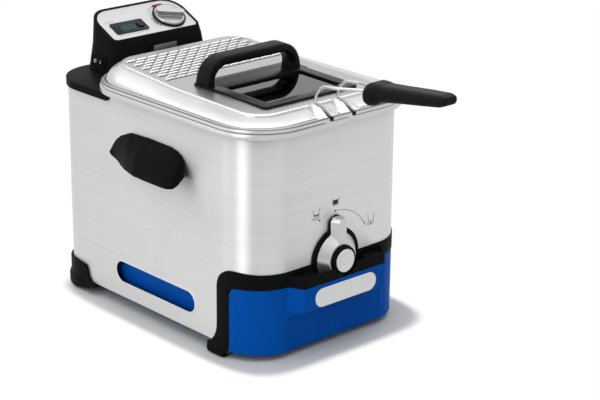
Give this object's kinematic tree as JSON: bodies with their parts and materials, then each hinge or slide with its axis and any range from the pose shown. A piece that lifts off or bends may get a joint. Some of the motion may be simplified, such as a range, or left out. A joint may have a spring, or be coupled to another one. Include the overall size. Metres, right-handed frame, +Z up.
{
  "type": "deep fryer",
  "caption": "Electric deep fryer in brushed steel with a lift-off lid, wire-handled basket, clip-on control head and a blue oil box drawer filled through a drain knob",
  "frame": {"origin": "middle of the footprint of the whole object, basket grip included, on the floor", "axes": "+Z up, the front with the drain knob and the grip faces -Y, +X is to the right seen from the front"},
  "size_m": [0.318, 0.5924, 0.3598],
  "materials": {
    "steel_body": "brushed stainless, upright grain",
    "steel_lid": "brushed stainless lid sheet",
    "steel_inside": "plain stainless sheet",
    "chrome_wire": "chromed wire",
    "screw_steel": "plated screws",
    "element_steel": "dark annealed sheath",
    "black_plastic": "black satin, fine grain",
    "grip_plastic": "black satin grips",
    "gloss_black": "polished black",
    "blue_plastic": "saturated blue, satin",
    "silver_plastic": "silver grey lacquer",
    "silver_plate": "fine brushed, bare",
    "clear_glass": "clear toughened pane",
    "display_black": "dark clear window",
    "display_teal": "teal display",
    "lamp_red": "clear red",
    "rubber_black": "soft black",
    "valve_metal": "cast and turned",
    "board_green": "printed board",
    "thermostat_grey": "moulded can",
    "filter_grey": "felt cartridge"
  },
  "bodies": {
    "housing": {"outer_housing": "steel_body", "front_bezel": "black_plastic", "rear_foot_left": "black_plastic", "rear_foot_right": "black_plastic", "foot_pads": "rubber_black", "rear_deck": "black_plastic", "side_handle_left": "grip_plastic", "side_handle_right": "grip_plastic", "side_handle_screws": "screw_steel", "drawer_rail_left": "steel_inside", "drawer_rail_right": "steel_inside", "heat_shield": "steel_inside", "shaft_bush": "valve_metal", "drain_valve_body": "valve_metal", "valve_screws": "screw_steel", "drain_seal": "rubber_black"},
    "oil_box": {"oil_box": "blue_plastic", "oil_box_badge": "silver_plate"},
    "drain_control": {"drain_knob_base": "black_plastic", "drain_knob": "silver_plastic", "drain_knob_hub": "gloss_black", "drain_knob_disc": "silver_plate", "drain_shaft": "steel_inside", "drain_plug": "valve_metal"},
    "bowl": {"bowl": "steel_inside", "drain_filter": "steel_inside"},
    "head": {"head_housing": "black_plastic", "head_base": "black_plastic", "head_screws": "screw_steel", "head_panel": "silver_plate", "display_window": "display_black", "lcd_display": "display_teal", "indicator_lamp": "lamp_red", "temp_knob_ring": "black_plastic", "thermostat": "thermostat_grey", "control_board": "board_green", "rocker_frame": "black_plastic", "cord_gland": "rubber_black", "element_bracket": "steel_inside", "heating_element": "element_steel", "sensor_tube": "element_steel", "basket_hook": "steel_inside"},
    "temp_control": {"temp_knob": "silver_plastic", "temp_shaft": "steel_inside"},
    "timer_button": {"timer_button": "silver_plastic"},
    "rocker": {"rocker_switch": "gloss_black"},
    "basket": {"basket": "steel_inside", "basket_side_left": "steel_inside", "basket_side_right": "steel_inside", "basket_ends": "steel_inside", "basket_rim": "chrome_wire", "basket_bracket": "steel_inside", "basket_handle_wires": "chrome_wire", "basket_grip": "grip_plastic"},
    "lid": {"lid_pan": "steel_lid", "lid_window_frame": "black_plastic", "lid_glass": "clear_glass", "lid_handle": "grip_plastic", "lid_handle_screws": "screw_steel", "lid_filter": "filter_grey"}
  },
  "joints": [
    {"name": "oil_box_slide", "type": "slide", "parent": "housing", "child": "oil_box", "axis": [0, -1, 0], "range_m": [0, 0.3]},
    {"name": "drain_knob_turn", "type": "hinge", "parent": "housing", "child": "drain_control", "pos_m": [0, -0.11275, 0.1135], "axis": [0, 1, 0], "range_deg": [-26, 60]},
    {"name": "bowl_lift", "type": "slide", "parent": "housing", "child": "bowl", "axis": [0, 0, 1], "range_m": [0, 0.19]},
    {"name": "head_lift", "type": "slide", "parent": "bowl", "child": "head", "axis": [0, 0, 1], "range_m": [0, 0.18]},
    {"name": "temp_knob_turn", "type": "hinge", "parent": "head", "child": "temp_control", "pos_m": [0.0387, 0.25576, 0.34066], "axis": [0, -0.4226, 0.9063], "range_deg": [-220, 20]},
    {"name": "timer_button_press", "type": "slide", "parent": "head", "child": "timer_button", "axis": [0, 0.4226, -0.9063], "range_m": [0, 0.0015], "stiffness_N_per_m": 400},
    {"name": "rocker_tilt", "type": "hinge", "parent": "head", "child": "rocker", "pos_m": [-0.07877, 0.25475, 0.29892], "axis": [0.1611, 0, 0.9869], "range_deg": [-5, 5]},
    {"name": "basket_lift", "type": "slide", "parent": "head", "child": "basket", "axis": [0, 0, 1], "range_m": [0, 0.14]},
    {"name": "lid_lift", "type": "slide", "parent": "basket", "child": "lid", "axis": [0, 0, 1], "range_m": [0, 0.1]}
  ]
}
